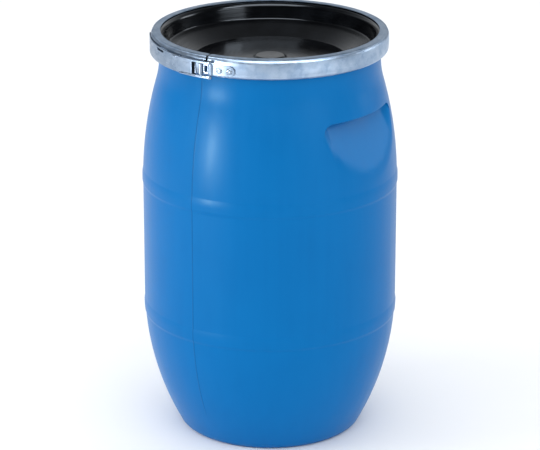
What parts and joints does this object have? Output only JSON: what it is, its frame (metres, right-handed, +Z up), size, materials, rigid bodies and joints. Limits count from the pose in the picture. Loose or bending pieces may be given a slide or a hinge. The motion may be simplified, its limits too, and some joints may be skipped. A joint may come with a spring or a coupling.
{
  "type": "open head drum",
  "caption": "Barrel-shaped plastic drum with a loose dished lid, held by a steel clamping band with an over-centre lever latch; hand grips in its sides.",
  "frame": {"origin": "centre of the base, on the plane of the ring that the drum stands on", "axes": "+Z up along the drum's axis; -Y towards the band's latch, on the mould's parting line; +X and -X towards the two hand grips"},
  "size_m": [0.493, 0.493, 0.7943],
  "materials": {
    "drum_plastic": "satin blow-moulded polyethylene, fine grain",
    "lid_plastic": "semi-gloss black moulded polyethylene",
    "gasket_rubber": "matte foam rubber",
    "band_steel": "galvanised, satin with soft spangle",
    "latch_steel": "zinc plated, satin",
    "rivet_steel": "zinc plated, bright"
  },
  "bodies": {
    "drum": {"drum_body": "drum_plastic"},
    "lid": {"lid": "lid_plastic", "lid_gasket": "gasket_rubber"},
    "band": {"clamp_band": "band_steel", "latch_bracket": "latch_steel", "bracket_rivet_1": "rivet_steel", "bracket_rivet_2": "rivet_steel", "pivot_rivet_upper": "rivet_steel", "pivot_rivet_lower": "rivet_steel"},
    "lever": {"latch_lever": "latch_steel", "hook_pin": "rivet_steel"},
    "band_end": {"tongue_plate": "latch_steel", "tongue_rivet_1": "rivet_steel", "tongue_rivet_2": "rivet_steel"}
  },
  "joints": [
    {"name": "lid_lift", "type": "slide", "parent": "drum", "child": "lid", "axis": [0, 0, 1], "range_m": [0, 0.3]},
    {"name": "band_lift", "type": "slide", "parent": "drum", "child": "band", "axis": [0, 0, 1], "range_m": [0, 0.45]},
    {"name": "lever_swing", "type": "hinge", "parent": "band", "child": "lever", "pos_m": [0.03263, -0.2307, 0.77], "axis": [0, 0, 1], "range_deg": [0, 150]},
    {"name": "band_opening", "type": "hinge", "parent": "band", "child": "band_end", "pos_m": [0.14035, 0.17682, 0.77], "axis": [0, 0, 1], "range_deg": [0, 5.27], "deforming": ["clamp_band", "tongue_plate"]}
  ],
  "couplings": [
    {"joint": "band_opening", "follows": "lever_swing", "ratio": 0.035131}
  ]
}
